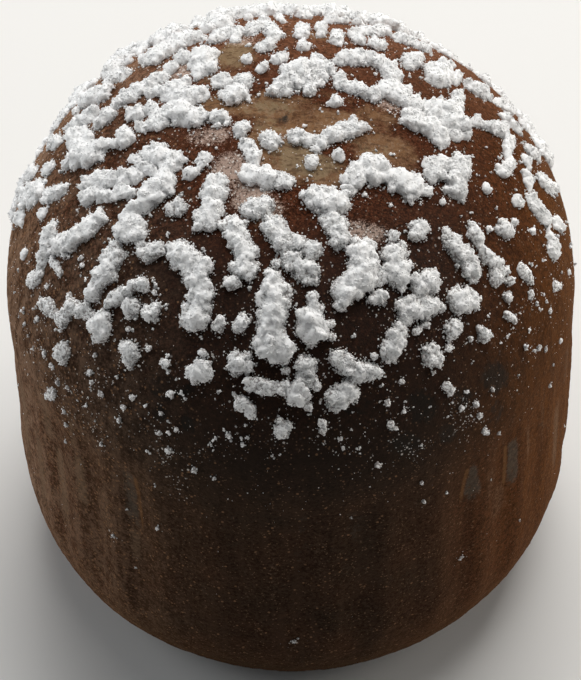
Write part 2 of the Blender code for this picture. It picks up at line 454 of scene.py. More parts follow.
# drifts of icing sugar: width, then the places along the drift on the dome laid flat
drifts = [
    # round the crown
    (2.0, (0.4, 3.0)),
    (1.2, (-0.6, 1.8), (0.2, 3.0), (1.6, 3.7)),
    (1.0, (0.9, 1.8), (0.9, 2.7)),
    (0.5, (0.4, 2.4)),
    (0.5, (1.4, 2.4)),
    (0.9, (2.1, 1.1)),
    (1.1, (2.4, 2.5), (3.2, 2.1), (3.8, 1.8)),
    (0.7, (2.3, 3.0)),
    (0.8, (1.5, 3.0)),
    (0.9, (1.2, 4.2)),
    (1.3, (2.5, 4.4), (3.6, 4.7), (4.6, 4.2), (5.0, 3.2)),
    (1.6, (4.7, 2.5), (5.1, 1.8)),
    (1.0, (5.5, 2.5), (5.9, 1.6), (5.6, 0.6)),
    (1.5, (5.5, 0.6), (6.5, 0.2), (7.0, -0.2)),
    (1.9, (7.8, 1.0), (7.2, 1.5)),
    (0.9, (6.6, 1.9), (6.4, 1.3)),
    (0.9, (8.4, 1.4), (8.4, 0.5)),
    (0.9, (7.8, 0.2)),
    (1.0, (7.7, 1.8), (8.2, 3.3)),
    (0.9, (6.5, -2.0), (7.4, -1.7)),
    (1.2, (-3.3, 0.2)),
    (1.1, (-2.2, -0.5)),
    (1.2, (-1.0, -1.4)),
    (1.0, (-1.9, -1.7), (-1.6, -2.5)),
    (1.2, (0.4, -1.2)),
    (1.2, (1.4, -1.5), (2.1, -0.9)),
    (1.2, (2.6, -0.5), (3.0, -0.4)),
    (1.0, (1.0, -2.7)),
    (0.8, (2.2, -2.2)),
    (1.4, (-1.7, -3.3), (-1.0, -3.6)),
    (1.2, (-0.4, -3.8)),
    (1.8, (3.0, -3.3), (3.9, -2.8)),
    (0.9, (2.6, -4.2)),
    (1.5, (4.7, -3.3), (5.8, -3.5)),
    (0.8, (5.5, -4.1)),
    (1.7, (1.1, -4.7), (2.1, -4.9)),
    (1.2, (1.7, -5.5), (2.0, -6.0)),
    (1.0, (-4.0, -2.3)),
    (0.8, (-4.6, -3.0)),
    (1.4, (-3.3, -3.7), (-3.5, -4.6), (-3.8, -5.7)),
    (1.2, (-1.8, -5.2), (-1.2, -5.1)),
    # behind the crown
    (0.7, (-2.1, 9.2)),
    (0.6, (-0.6, 9.2), (-0.4, 8.2)),
    (1.0, (0.7, 9.3)),
    (0.8, (1.9, 8.7), (2.7, 8.8)),
    (0.8, (3.4, 8.9)),
    (1.1, (5.4, 7.8), (6.8, 7.5)),
    (0.6, (8.1, 6.4)),
    (0.9, (10.8, 5.0), (11.7, 5.3)),
    (0.8, (-8.3, 7.2)),
    (0.7, (-11.1, 4.4)),
    (1.3, (4.2, 6.1)),
    (1.1, (3.6, 7.6), (4.8, 8.3)),
    (0.9, (3.1, 6.9), (3.4, 6.3)),
    (0.9, (2.3, 6.9), (2.2, 6.0)),
    (0.8, (1.5, 7.7), (1.5, 6.7)),
    (1.0, (0.6, 7.4), (0.5, 6.4)),
    (1.0, (0.6, 5.4)),
    (1.0, (-0.5, 4.3)),
    (0.8, (-1.3, 3.6)),
    (0.8, (-2.1, 4.4)),
    (1.2, (-1.2, 5.4)),
    (1.1, (-0.9, 7.1), (-0.7, 6.3)),
    (1.1, (-1.9, 7.2), (-1.4, 8.0)),
    (0.8, (-2.7, 6.3), (-2.5, 7.4)),
    (1.4, (-4.0, 8.4), (-3.2, 8.8)),
    (1.1, (-3.7, 6.5), (-3.2, 7.3)),
    (1.7, (-4.2, 5.1), (-4.1, 4.0)),
    (1.2, (-5.2, 5.2)),
    (1.0, (-5.7, 4.4)),
    (1.2, (-3.2, 2.8)),
    (1.1, (-2.1, 2.7)),
    (1.6, (-2.6, 1.7)),
    (1.7, (-6.8, 5.9), (-5.9, 6.6), (-4.9, 7.4)),
    (1.2, (-9.2, 5.6), (-8.4, 5.6)),
    (1.6, (-10.4, 4.8), (-9.4, 4.3)),
    (1.2, (-8.2, 2.9), (-7.2, 3.4), (-6.3, 4.0)),
    (1.0, (-6.6, 2.7), (-5.1, 3.0)),
    (1.5, (-5.7, 2.2), (-4.2, 1.8)),
    (1.6, (-5.5, 1.0), (-4.4, 0.4)),
    (1.0, (-6.6, 1.5), (-6.0, 0.7)),
    (0.8, (-7.1, 0.4), (-6.0, 0.3)),
    (1.2, (-7.4, 1.5)),
    (1.1, (-9.4, 1.9), (-8.7, 2.1)),
    (1.5, (-10.9, 1.9), (-10.2, 0.8)),
    (1.8, (-10.6, 0.2), (-9.3, -0.3)),
    (1.2, (-11.1, 2.8), (-9.7, 2.9)),
    (1.5, (-7.9, -0.1)),
    (1.7, (-14.6, 0.7), (-13.5, -0.3)),
    (1.0, (-15.8, 0.0), (-15.0, -0.7)),
    (1.1, (-12.6, 0.8)),
    (1.1, (-12.7, 3.2), (-12.3, 2.5)),
    (1.1, (-15.2, 3.3), (-14.0, 1.8)),
    # left side
    (1.5, (-6.5, -1.3), (-5.5, -2.2)),
    (0.8, (-7.3, -1.5), (-6.5, -2.4)),
    (1.0, (-9.9, -2.0), (-8.8, -1.9)),
    (1.1, (-9.9, -2.8), (-8.6, -2.3), (-7.2, -2.5)),
    (0.9, (-9.2, -3.0), (-7.6, -3.3)),
    (1.7, (-5.8, -3.3), (-6.8, -4.1)),
    (1.5, (-7.2, -4.5), (-7.8, -5.2), (-7.1, -5.7)),
    (1.1, (-5.2, -4.8)),
    (1.1, (-12.6, -1.1), (-11.5, -1.5)),
    (0.8, (-12.9, -2.0)),
    (1.3, (-12.4, -3.5), (-13.1, -4.7)),
    (1.4, (-12.0, -4.6), (-10.8, -4.7), (-9.3, -4.4)),
    (1.0, (-14.4, -5.2), (-13.5, -5.4)),
    (0.7, (-12.3, -5.2), (-11.9, -5.9)),
    (1.4, (-8.4, -6.3), (-8.9, -7.0), (-9.8, -7.7)),
    (1.0, (-6.8, -6.7), (-6.1, -6.7)),
    (1.5, (-5.3, -6.9), (-4.3, -8.0), (-4.2, -9.3), (-4.7, -10.3)),
    (1.4, (-2.7, -5.9), (-2.1, -7.1), (-2.1, -8.2)),
    (0.5, (-0.6, -7.9)),
    (0.9, (-13.6, -6.9), (-12.9, -7.3), (-12.6, -8.1)),
    (1.0, (-12.2, -8.5), (-11.5, -7.9), (-10.4, -8.5)),
    (1.4, (-12.8, -9.8)),
    (0.7, (-14.8, -3.3)),
    (1.7, (-9.6, -9.4)),
    (0.9, (-8.9, -8.5), (-7.7, -8.2), (-7.0, -8.1)),
    (1.2, (-7.8, -9.0)),
    (1.1, (-6.7, -9.5)),
    (0.3, (-6.5, -8.6)),
    (1.2, (-8.25, -11.1)),
    (1.5, (-4.5, -12.5)),
    (0.6, (-6.3, -11.9)),
    (0.9, (-3.4, -10.5)),
    (1.0, (-2.3, -10.6)),
    (1.0, (-2.8, -8.7)),
    (1.3, (-2.5, -12.3)),
    (0.7, (-15.8, -11.2), (-15.2, -11.3)),
    # front
    (1.3, (-0.8, -5.9), (-0.4, -7.1)),
    (1.0, (0.3, -6.9)),
    (1.2, (0.1, -7.8), (0.9, -8.4)),
    (1.1, (1.0, -7.3)),
    (0.8, (1.0, -9.5)),
    (1.6, (-0.8, -8.7), (-0.8, -9.9), (-0.9, -10.7)),
    (1.7, (-1.2, -11.3), (-0.4, -11.7)),
    (1.7, (1.0, -10.4), (1.1, -11.0)),
    (0.5, (1.9, -10.6)),
    (1.2, (2.2, -6.3), (2.3, -6.9)),
    (1.8, (3.2, -7.2), (3.5, -8.1), (2.6, -8.9)),
    (1.5, (4.8, -7.2), (5.1, -8.2)),
    (0.9, (4.3, -8.2)),
    (0.7, (4.7, -6.3)),
    (1.1, (4.1, -9.2)),
    (0.8, (2.4, -9.7)),
    (1.3, (6.1, -8.3), (6.8, -8.0)),
    (1.3, (5.4, -9.6), (6.8, -9.3)),
    (1.2, (5.3, -10.5), (4.9, -11.6)),
    (0.4, (6.1, -10.5), (6.6, -10.1)),
    (1.2, (0.8, -12.5)),
    (0.8, (0.6, -13.1), (1.2, -13.3)),
    (1.1, (2.2, -12.1), (3.1, -12.7), (4.2, -12.6)),
    (0.4, (4.1, -11.9)),
    (0.9, (-2.1, -13.2), (-1.2, -13.5), (-0.2, -13.5)),
    (1.5, (0.4, -13.7)),
    (0.6, (0.9, -14.3)),
    (1.3, (3.1, -13.4), (2.2, -14.2)),
    (0.8, (-2.6, -14.1), (-2.0, -14.5)),
    (1.1, (-0.4, -15.4)),
    (0.5, (1.7, -15.2), (1.8, -15.6)),
    # right side
    (1.4, (8.1, -8.7), (8.8, -8.4)),
    (1.1, (8.1, -10.0)),
    (0.4, (8.0, -10.9)),
    (1.1, (7.0, -11.3), (7.2, -11.7)),
    (1.2, (5.9, -5.8)),
    (0.7, (7.3, -5.6)),
    (1.2, (7.7, -5.9), (8.4, -6.6), (8.9, -7.1)),
    (1.0, (8.7, -5.0), (9.5, -6.0), (10.7, -6.5)),
    (1.0, (10.2, -6.9)),
    (0.5, (11.2, -6.7)),
    (1.2, (6.8, -2.6)),
    (1.3, (8.0, -1.5), (7.9, -2.5), (7.7, -3.3)),
    (0.6, (9.4, -2.4)),
    (1.1, (10.5, -4.25)),
    (0.4, (9.6, -4.6)),
    (0.4, (11.2, -3.5)),
    (0.5, (12.5, -3.4)),
    (0.9, (11.4, -2.2)),
    (1.3, (12.6, -1.6), (13.6, -1.9)),
    (1.2, (14.1, -2.7), (14.5, -3.5)),
    (0.9, (14.5, -1.4), (15.2, -1.0)),
    (0.9, (11.9, -5.9), (12.5, -5.9)),
    (0.5, (12.9, -6.7)),
    (0.6, (11.2, -7.5)),
    (0.6, (11.3, -8.4), (11.9, -8.4)),
    (0.6, (15.0, -5.1), (15.5, -4.8)),
    (1.0, (9.9, -9.8)),
    (0.9, (11.1, 2.1), (10.8, 0.9), (11.0, -0.2), (10.4, -0.8)),
    (1.0, (12.2, 0.9)),
    (0.9, (12.1, -0.1), (12.2, -0.6)),
    (1.1, (13.4, 0.6), (14.1, 0.9), (14.5, 1.3)),
    (1.1, (9.1, 1.7), (10.1, 1.9), (10.7, 2.3)),
    (1.8, (7.2, 5.2), (7.3, 4.1)),
    (1.1, (5.7, 4.8), (6.2, 5.9)),
    (0.8, (8.4, 5.6), (8.2, 4.7)),
    (1.3, (9.2, 4.9), (9.9, 5.0)),
    (0.9, (10.9, 3.8), (11.8, 3.4)),
    (1.1, (12.6, 2.1), (13.2, 2.5)),
    # strays towards the wall
    (0.5, (8.3, -12.7), (8.8, -12.9)),
    (0.35, (12.3, -14.4), (12.7, -14.5)),
]
# single crumbs: width and place
crumbs = [
    (0.3, 9.7, -13.6), (0.35, 10.7, -13.2), (0.3, 11.3, -13.7), (0.3, 5.7, -12.9), (0.35, 5.5, -15.0),
    (0.3, 5.2, -17.3), (0.35, -6.3, -13.4), (0.35, -9.4, -13.6), (0.3, -10.0, -14.2), (0.35, -7.2, -16.3),
    (0.3, -5.9, -17.6), (0.25, -3.4, -15.8), (0.35, -16.4, -11.1), (0.3, -8.6, -13.2), (0.22, -7.1, -14.3),
    (0.25, -7.5, -15.3), (0.25, -6.4, -15.2), (0.2, -4.7, -18.2), (0.25, -16.4, -21.0), (0.2, -10.8, -21.4),
    (0.3, -10.7, -12.6), (0.25, -11.1, -11.9), (0.35, -11.1, -11.4), (0.25, -10.4, -10.7), (0.35, -14.5, -7.3),
    (0.3, -13.5, -7.4), (0.35, -14.7, -9.2), (0.3, -14.3, -10.0), (0.35, -14.2, -11.1), (0.4, -11.5, -7.4),
    (0.3, -7.1, -11.1), (0.3, -8.1, -10.0), (0.3, -13.0, -6.2), (0.25, -10.4, -5.8), (0.25, -10.4, -6.2),
    (0.3, -14.8, -12.6), (0.25, -15.4, -13.3), (0.2, -17.0, -14.0), (0.2, -12.4, -15.2), (0.25, -13.4, -11.6),
    (0.3, 5.1, -14.0), (0.25, 5.8, -15.2), (0.25, 6.1, -14.3), (0.2, 7.4, -12.2), (0.2, 8.8, -18.2),
    (0.2, 9.7, -19.5), (0.2, 11.5, -18.7), (0.2, 0.4, -31.2), (0.22, 16.6, -22.6), (0.3, 14.8, -8.8),
    (0.3, 15.7, -8.5), (0.3, 15.0, -6.6), (0.2, 14.0, -14.2), (0.25, 11.7, -12.2), (0.35, 7.1, -4.0),
    (0.2, 4.6, -4.7), (0.25, 3.4, -4.3), (0.35, 11.0, -4.2), (0.4, 4.1, -8.6), (0.4, 2.0, -11.2),
    (0.35, 7.3, -9.3), (0.25, 9.2, -10.2), (0.3, 7.9, -10.5), (0.45, -4.3, -11.7), (0.5, -0.2, -9.8),
    (0.5, -0.2, -12.7), (0.4, -2.0, -14.8), (0.3, 17.5, -7.0), (0.3, 16.8, -3.0), (0.25, 18.5, -9.5),
]
sugar = {
    "seed": 5,
    "wider": 0.01,
    "lumpSpacing": 0.2,  # between the places that a lump may grow from
    "narrowerBehind": 0.05,
    "backDrifts": 260,
    "sunkAside": 0.4,
    "coreShare": (0.50, 0.74),
    "coreSpacing": 0.3,
    "lumpsPerArea": 10.0,
    "lumpRadius": (0.11, 0.24),
    "budsPerLump": 5,
    "budShare": (0.3, 0.5),
    "voxel": 0.055,
    "knobSize": 0.24,
    "knobDepth": 0.045,
    "fluffSize": 0.1,
    "fluffDepth": 0.07,
    "mostTriangles": 185000,
    "thinBelow": 0.5,  # the height under which cocoa shows between the grains, and on the front painted shade in the crevices
}


def backDrifts(chooser):
    # the far side of the dome carries the same sort of drifts, and so do the edges that its curve hides
    found = []
    while len(found) < sugar["backDrifts"]:
        x, y = chooser.uniform(-19, 19), chooser.uniform(-6, 18)
        down = math.hypot(x, y)
        if y < 10.5 - 0.03 * x * x or down > chooser.uniform(12, 19):
            continue
        width = chooser.choice((0.5, 0.7, 0.9, 1.1, 1.4, 1.7))
        path = [(x, y)]
        heading = chooser.uniform(0, math.tau)
        for _ in range(chooser.choice((0, 0, 0, 1, 1, 2))):
            heading += chooser.uniform(-1.3, 1.3)
            x += chooser.uniform(0.5, 1.1) * math.cos(heading)
            y += chooser.uniform(0.5, 1.1) * math.sin(heading)
            path.append((x, y))
        found.append((width, *path))
        for _ in range(chooser.choice((0, 1, 1, 2))):
            beside = (x + chooser.gauss(0, 1.1), y + chooser.uniform(0.2, 1.4))
            found.append((chooser.uniform(0.2, 0.5), beside))
    return found


def alongDrift(drift, spacing):
    # evenly spaced places along a drift's line
    width, *path = drift
    if len(path) == 1:
        return [path[0]]
    spots = []
    for (x0, y0), (x1, y1) in zip(path, path[1:]):
        steps = max(1, round(math.dist((x0, y0), (x1, y1)) / spacing))
        spots += [(x0 + (x1 - x0) * i / steps, y0 + (y1 - y0) * i / steps) for i in range(steps)]
    return spots + [path[-1]]


def lumpsOf(drift, chooser):
    # balls that together fill a drift, big ones along its middle and lumps all over: place, way up and radius
    width = drift[0]
    half = width / 2 + sugar["wider"] - sugar["narrowerBehind"] * float(smoothStep(drift[1][1] / 6))
    balls = []

    def put(x, y, lift, radius):
        # drifts lie thinner on the steep sides and at the back
        spot, normal = onBody(x, y)
        sunk = sugar["sunkAside"] * float(smoothStep((max(abs(x), y) - 9) / 5))
        balls.append((spot + normal * (lift * (1 - sunk) - radius * sunk), normal, radius))

    spots = alongDrift(drift, sugar["lumpSpacing"])
    for x, y in alongDrift(drift, sugar["coreSpacing"]):
        radius = half * chooser.uniform(*sugar["coreShare"])
        right, behind = chooser.uniform(-0.25, 0.25) * half, chooser.uniform(-0.25, 0.25) * half
        put(x + right, y + behind, -0.15 * radius, radius)
    area = (len(spots) - 1) * sugar["lumpSpacing"] * width + math.pi * half * half
    for _ in range(round(area * sugar["lumpsPerArea"]) + 3):
        x, y = chooser.choice(spots)
        turn = chooser.uniform(0, math.tau)
        radius = min(chooser.uniform(*sugar["lumpRadius"]) * (0.75 + 0.25 * width), 0.85 * half)
        out = max(0.0, half * chooser.uniform(0.8, 1.15) - radius) * math.sqrt(chooser.random())
        lift = (1 - (out / half) ** 2) * 0.5 * half * chooser.uniform(0.5, 1.0) - 0.1 * radius
        put(x + out * math.cos(turn), y + out * math.sin(turn), lift, radius)
    return balls


def withBuds(balls, chooser):
    # small knobs all over each ball
    grown = []
    for spot, normal, radius in balls:
        grown.append((spot, radius))
        for _ in range(sugar["budsPerLump"]):
            way = Vector([chooser.gauss(0, 1) for _ in range(3)]).normalized() + normal * 0.7
            way.normalize()
            bud = radius * chooser.uniform(*sugar["budShare"])
            grown.append((spot + way * radius * chooser.uniform(0.75, 1.05), bud))
    return grown


def grainShape(subdivisions):
    # the corners and faces of a small ball, modelled once
    deselectAll()
    bpy.ops.mesh.primitive_ico_sphere_add(subdivisions=subdivisions, radius=1)
    grain = bpy.context.object
    corners = places(grain)
    faces = np.array([face.vertices[:] for face in grain.data.polygons])
    bpy.data.objects.remove(grain)
    return corners, faces


def joined(name, shape, centres, stretches, turns=None):
    # one mesh that holds a copy of the shape at each centre
    corners, faces = shape
    copies = corners[None] * stretches[:, None]
    if turns is not None:
        copies = np.einsum("nij,nkj->nki", turns, copies)
    copies = copies + centres[:, None]
    faces = faces[None] + np.arange(len(centres))[:, None, None] * len(corners)
    mesh = bpy.data.meshes.new(name)
    mesh.vertices.add(copies.shape[0] * copies.shape[1])
    mesh.vertices.foreach_set("co", copies.astype(np.float32).ravel())
    faces = faces.reshape(-1, 3)
    mesh.loops.add(faces.size)
    mesh.loops.foreach_set("vertex_index", faces.ravel().astype(np.int32))
    mesh.polygons.add(len(faces))
    mesh.polygons.foreach_set("loop_start", np.arange(0, faces.size, 3, dtype=np.int32))
    mesh.update(calc_edges=True)
    piece = bpy.data.objects.new(name, mesh)
    bpy.context.scene.collection.objects.link(piece)
    return piece


def fused(name, balls):
    # balls melted into one rough surface
    centres = np.array([tuple(spot) for spot, radius in balls])
    radii = np.array([radius for spot, radius in balls])
    piece = joined(name, grainShape(2), centres, np.repeat(radii[:, None], 3, 1))
    melt = piece.modifiers.new("melt", "REMESH")
    melt.mode = "VOXEL"
    melt.voxel_size = sugar["voxel"]
    applyModifiers(piece)
    roughen(piece, "knobs", "VORONOI", sugar["knobSize"], -sugar["knobDepth"])
    roughen(piece, "fluff", "CLOUDS", sugar["fluffSize"], sugar["fluffDepth"], noise_depth=1)
    triangles = sum(len(face.vertices) - 2 for face in piece.data.polygons)
    stage(f"{name}: {triangles} triangles before thinning")
    if triangles > sugar["mostTriangles"]:
        thin = piece.modifiers.new("thin", "DECIMATE")
        thin.ratio = sugar["mostTriangles"] / triangles
        applyModifiers(piece)
    low = []
    for spot in places(piece):
        foot, normal, _, _ = bodyTree.find_nearest(spot)
        # only on the front, where the dark gaps below also stand for painted shade in the crevices between
        # lumps
        frontCreviceShade = float(smoothStep((-1 - foot.y) / 6))
        low.append(frontCreviceShade * (1 - (Vector(spot) - foot).dot(normal) / sugar["thinBelow"]))
    setAttribute(piece, "low", np.clip(low, 0, 1))
    return piece


def makeDrifts():
    chooser = random.Random(sugar["seed"])
    everyDrift = drifts + [(width, (x, y)) for width, x, y in crumbs] + backDrifts(chooser)
    balls = {"sugarDrifts": [], "sugarClumps": [], "sugarTufts": []}
    for drift in everyDrift:
        kind = "sugarDrifts" if drift[0] > 1.35 else "sugarClumps" if drift[0] > 1.05 else "sugarTufts"
        balls[kind] += withBuds(lumpsOf(drift, chooser), chooser)
    return everyDrift, [fused(kind, balls[kind]) for kind in balls]


everyDrift, driftPieces = makeDrifts()
driftSpots = np.array([spot for drift in everyDrift for spot in alongDrift(drift, 0.4)])
driftHalves = np.array([drift[0] / 2 for drift in everyDrift for spot in alongDrift(drift, 0.4)])


def fromDrifts(x, y):
    # how far outside the nearest drift a place lies, negative inside one
    return float(np.min(np.hypot(driftSpots[:, 0] - x, driftSpots[:, 1] - y) - driftHalves))


def cornersOf(pieces, chooser, count):
    # random corners of the drifts, each with its surface normal
    found = []
    for piece in pieces:
        points, ways = places(piece), normals(piece)
        for corner in chooser.sample(range(len(points)), count // len(pieces)):
            found.append((Vector(points[corner]), Vector(ways[corner])))
    return found


# fine grains that make the drifts' edges and tops look like powder
fringe = {
    "seed": 31,
    "tries": 90000,
    "edgeHeight": 0.24,
    "edgeSize": (0.028, 0.075),
    "stray": 0.05,
    "topSize": (0.03, 0.06),
    "each": 22000,
}


def fringeGrains():
    chooser = random.Random(fringe["seed"])
    edge, top = [], []
    for spot, way in cornersOf(driftPieces, chooser, fringe["tries"]):
        foot, normal, _, _ = bodyTree.find_nearest(spot)
        height = (spot - foot).dot(normal)
        if height > fringe["edgeHeight"]:
            if way.dot(normal) > -0.2 and len(top) < fringe["each"]:
                size = chooser.uniform(*fringe["topSize"])
                top.append((spot + way * size * chooser.uniform(-0.3, 0.45), size))
        elif height > -0.05 and len(edge) < fringe["each"]:
            smallest, largest = fringe["edgeSize"]
            size = smallest + (largest - smallest) * chooser.random() ** 1.7
            outward = (way - normal * way.dot(normal)).normalized()
            out = chooser.expovariate(1 / fringe["stray"])
            foot, normal, _, _ = bodyTree.find_nearest(foot + outward * out)
            rise = max(0.0, height) * math.exp(-out / 0.06)
            edge.append((foot + normal * (size * 0.4 + rise), size))
    return edge, top


def strewn(name, grains, shape, seed):
    # one piece that holds all the grains, each turned and stretched its own way
    maker = np.random.default_rng(seed)
    centres = np.array([tuple(spot) for spot, size in grains])
    sizes = np.array([size for spot, size in grains])[:, None] * maker.uniform(0.65, 1.2, (len(grains), 3))
    return joined(name, shape, centres, sizes, turnMatrices(maker, len(grains)))


def octahedron():
    corners = np.array([(1, 0, 0), (-1, 0, 0), (0, 1, 0), (0, -1, 0), (0, 0, 1), (0, 0, -1)], dtype=float)
    faces = np.array([
        (0, 2, 4), (2, 1, 4), (1, 3, 4), (3, 0, 4), (2, 0, 5), (1, 2, 5), (3, 1, 5), (0, 3, 5),
    ])
    return corners, faces


# patches on the dome laid flat, in millimetres right and back of the crown: place, half-sizes, strength
patches = {
    "rubbed": [
        (-1.0, 0.9, 2.2, 1.3, 1.0), (1.5, -0.2, 3.0, 1.3, 0.9), (-0.6, -1.2, 2.0, 1.6, 1.0),
        (0.2, -2.6, 2.0, 1.3, 1.0), (1.8, -3.4, 1.2, 1.5, 0.9), (4.3, -1.5, 1.8, 1.4, 0.9),
        (5.1, -1.8, 1.2, 1.3, 0.7), (-2.8, 1.2, 1.7, 1.1, 1.0), (-2.6, 5.0, 1.3, 1.6, 0.9),
        (-3.4, 3.0, 1.2, 1.0, 0.7), (-1.6, -5.6, 1.0, 0.9, 0.5), (1.2, 1.5, 2.6, 0.9, 0.5),
        (3.8, 0.3, 1.8, 1.3, 0.7), (1.0, 6.8, 1.6, 1.0, 0.6),
    ],
    "olive": [
        (1.0, -2.3, 2.0, 1.4, 1.0), (-0.9, -0.3, 1.2, 0.8, 0.6), (3.3, -1.6, 1.8, 0.8, 0.5),
        (-5.0, 3.0, 2.5, 2.5, 0.6), (-1.2, 1.0, 1.8, 0.8, 0.5), (-2.4, 5.2, 1.6, 1.8, 0.9),
    ],
    "haze": [
        (-3.7, -0.8, 1.4, 0.8, 0.85), (-2.6, -2.9, 1.4, 1.3, 0.95), (-1.8, -4.4, 1.2, 1.5, 1.0),
        (-0.9, -5.2, 0.9, 0.9, 0.8), (3.4, -6.2, 1.3, 0.7, 0.9), (4.7, 1.4, 0.8, 0.6, 0.9),
        (-0.3, -0.7, 0.6, 0.7, 0.5), (-5.3, 4.4, 1.4, 1.0, 1.0), (-2.3, 6.3, 1.0, 0.8, 0.8),
        (-6.3, 1.2, 0.9, 0.7, 0.7), (-2.2, 1.4, 0.9, 0.7, 0.5),
    ],
    "bare": [
        (-0.35, 0.25, 0.35, 0.45, 0.9), (11.7, -11.6, 1.3, 1.0, 1.0), (7.2, -14.0, 1.1, 1.0, 1.0),
        (9.7, -13.2, 0.8, 0.8, 0.9), (9.4, -15.1, 0.8, 0.7, 0.9), (6.8, -16.0, 1.4, 0.8, 0.9),
        (-5.7, -15.0, 0.6, 0.5, 0.9), (-7.2, -14.3, 0.6, 0.5, 0.9), (-6.3, -13.2, 1.8, 1.0, 0.6),
        (12.8, -13.2, 1.0, 0.8, 0.6), (3.4, -14.2, 1.4, 0.8, 0.5),
    ],
    # where fine sugar has fallen lower down
    "dusty": [
        (-7.4, -17.5, 1.3, 2.6, 1.0), (7.0, -16.0, 1.6, 1.3, 1.0), (10.2, -14.0, 1.5, 1.6, 0.8),
        (-5.0, -16.0, 1.2, 1.2, 0.7), (-12.0, -13.0, 3.5, 2.5, 0.6), (-2.5, -16.5, 2.5, 1.0, 0.5),
        (3.0, -16.3, 2.5, 1.0, 0.5), (13.0, -10.0, 2.5, 3.0, 0.3), (-16.0, -7.0, 3.0, 4.0, 0.4),
        (-8.0, 16.0, 4.0, 2.5, 0.5), (4.0, 18.0, 3.5, 2.5, 0.6), (14.0, 10.0, 2.5, 3.5, 0.4),
        (-15.5, 8.0, 2.5, 3.0, 0.5),
    ],
}


def patchStrength(name, x, y):
    strength = np.zeros_like(x)
    for middleX, middleY, halfX, halfY, most in patches[name]:
        away = np.hypot((x - middleX) / halfX, (y - middleY) / halfY)
        strength = np.maximum(strength, most * smoothStep(1.35 - away))
    return strength


# loose sugar: how many, their sizes, how far down they fade, and how close they keep to the drifts
looseSugar = {
    "sugarCrumbs": {
        "seed": 21, "count": 850, "size": (0.045, 0.11), "fade": (14.0, 19.0), "near": 0.35, "grains": 4,
    },
    "sugarSpecks": {
        "seed": 22, "count": 4600, "size": (0.014, 0.042), "fade": (15.0, 22.0), "near": 0.25, "grains": 1,
    },
}


def turnMatrices(maker, count):
    # random turns, one for each grain
    quarters = maker.normal(size=(count, 4))
    quarters /= np.linalg.norm(quarters, axis=1, keepdims=True)
    w, x, y, z = quarters.T
    return np.stack([
        np.stack([1 - 2 * (y * y + z * z), 2 * (x * y - z * w), 2 * (x * z + y * w)], -1),
        np.stack([2 * (x * y + z * w), 1 - 2 * (x * x + z * z), 2 * (y * z - x * w)], -1),
        np.stack([2 * (x * z - y * w), 2 * (y * z + x * w), 1 - 2 * (x * x + y * y)], -1),
    ], 1)


def strew(name, loose):
    chooser = random.Random(loose["seed"])
    grains = []
    while len(grains) < loose["count"] * loose["grains"]:
        down = 30 * math.sqrt(chooser.random())
        azimuth = chooser.uniform(0, math.tau)
        radius = float(onOutline(down)[0])
        if chooser.random() > radius / 14.2 * (30 / max(down, 1)) * 0.45:
            continue
        fade = 1 - (down - loose["fade"][0]) / (loose["fade"][1] - loose["fade"][0])
        if chooser.random() > max(0.03, min(1.0, fade)):
            continue
        x, y = down * math.cos(azimuth), down * math.sin(azimuth)
        gap = fromDrifts(x, y)
        keep = math.exp(-max(0.0, gap) / loose["near"])
        spread = 0.01 + 0.99 * float(smoothStep((down - 9) / 6))
        patchy = float(smoothStep(0.5 + 1.6 * noise.noise(Vector((x, y, 7.0)) * 0.7)))
        dusty = 0.3 + float(patchStrength("dusty", x, y))
        if chooser.random() > max(keep * 0.3, spread * patchy * dusty):
            continue
        size = loose["size"][0] + (loose["size"][1] - loose["size"][0]) * chooser.random() ** 2
        spot, normal = onBody(x, y)
        for _ in range(loose["grains"]):
            shift = Vector([chooser.uniform(-1, 1) for _ in range(3)]) * size * (loose["grains"] > 1)
            grains.append((spot + shift + normal * size * 0.4, size * chooser.uniform(0.7, 1.2)))
    return strewn(name, grains, octahedron(), loose["seed"])


edgeGrains, topGrains = fringeGrains()
stage(f"{len(edgeGrains)} grains at the edges, {len(topGrains)} on top")
loosePieces = [
    strewn("sugarFringe", edgeGrains, octahedron(), 32),
    strewn("sugarFluff", topGrains, octahedron(), 33),
    *[strew(name, loose) for name, loose in looseSugar.items()],
]
stage("loose sugar strewn")


# strips that the pleats rubbed bare: way round from the front in degrees, from and to, half width in
# millimetres, strength, and how wide the top is beside the foot
strips = [
    (49.4, 21.3, 25.9, 0.42, 1.0, 0.8), (38.0, 20.8, 24.4, 0.56, 0.95, 0.35),
    (-33.4, 20.3, 26.6, 0.42, 0.85, 0.7), (12.0, 20.5, 25.0, 0.5, 0.35, 0.7),
    (2.0, 20.5, 26.0, 0.5, 0.35, 0.7), (-12.0, 21.0, 26.0, 0.45, 0.3, 0.7),
    (60.0, 20.5, 25.0, 0.4, 0.4, 0.7), (74.0, 20.0, 25.0, 0.5, 0.5, 0.7),
    (-80.0, 20.0, 25.0, 0.6, 0.6, 0.7), (104.0, 19.8, 25.0, 0.7, 0.8, 0.5),
    (127.0, 20.2, 24.5, 0.6, 0.7, 0.8), (160.0, 19.7, 25.5, 0.8, 0.9, 0.6),
    (-115.0, 20.0, 25.0, 0.7, 0.8, 0.7), (-141.0, 19.8, 24.0, 0.6, 0.7, 0.4),
]


